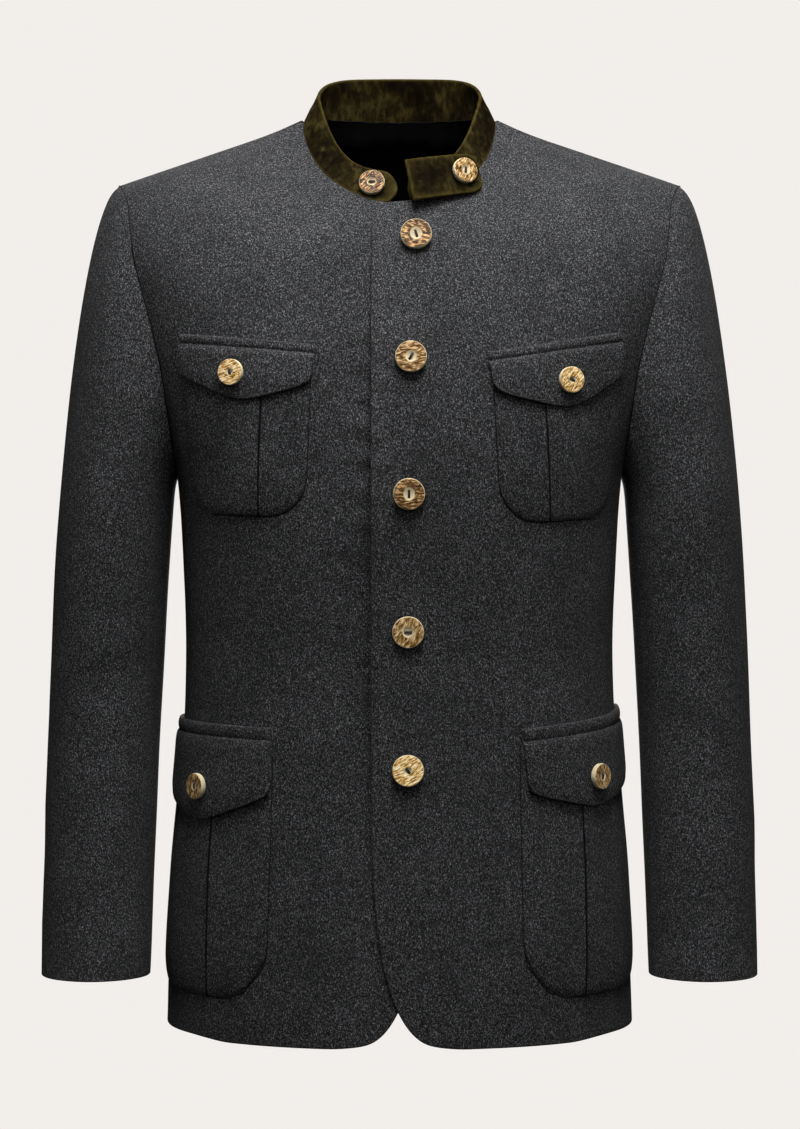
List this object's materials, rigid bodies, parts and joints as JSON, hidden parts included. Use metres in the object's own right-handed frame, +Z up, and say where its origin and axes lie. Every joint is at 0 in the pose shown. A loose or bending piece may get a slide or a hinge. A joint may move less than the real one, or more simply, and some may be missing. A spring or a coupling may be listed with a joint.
{
  "type": "trachten jacket",
  "caption": "Buttoned trachten jacket of grey fulled wool, open and hollow as worn, with a velvet stand collar and tab, pleated patch pockets and pointed flaps; hangs from the shoulders.",
  "frame": {"origin": "midway between the two points where the collar meets the shoulder seams, inside the neck, where the wearer carries the jacket", "axes": "+Z up, +X towards the wearer's left, the buttoned front looks along -Y"},
  "size_m": [0.5666, 0.2922, 0.7619],
  "materials": {
    "grey_wool": "fulled melange wool, charcoal with light flecks, soft short nap",
    "olive_velvet": "dark olive cotton velvet",
    "black_lining": "smooth black lining cloth",
    "stag_horn": "polished stag horn, mottled brown and cream"
  },
  "bodies": {
    "root": {"front_left": "grey_wool", "front_right": "grey_wool", "back_left": "grey_wool", "back_right": "grey_wool", "top_sleeve_left": "grey_wool", "top_sleeve_right": "grey_wool", "under_sleeve_left": "grey_wool", "under_sleeve_right": "grey_wool", "chest_pocket_left": "grey_wool", "chest_pocket_right": "grey_wool", "hip_pocket_left": "grey_wool", "hip_pocket_right": "grey_wool", "chest_flap_left": "grey_wool", "chest_flap_right": "grey_wool", "hip_flap_left": "grey_wool", "hip_flap_right": "grey_wool", "collar": "olive_velvet", "collar_tab": "olive_velvet", "back_lining": "black_lining", "front_button_1": "stag_horn", "front_button_2": "stag_horn", "front_button_3": "stag_horn", "front_button_4": "stag_horn", "front_button_5": "stag_horn", "chest_button_left": "stag_horn", "chest_button_right": "stag_horn", "hip_button_left": "stag_horn", "hip_button_right": "stag_horn", "collar_button": "stag_horn", "tab_button": "stag_horn"}
  },
  "joints": []
}
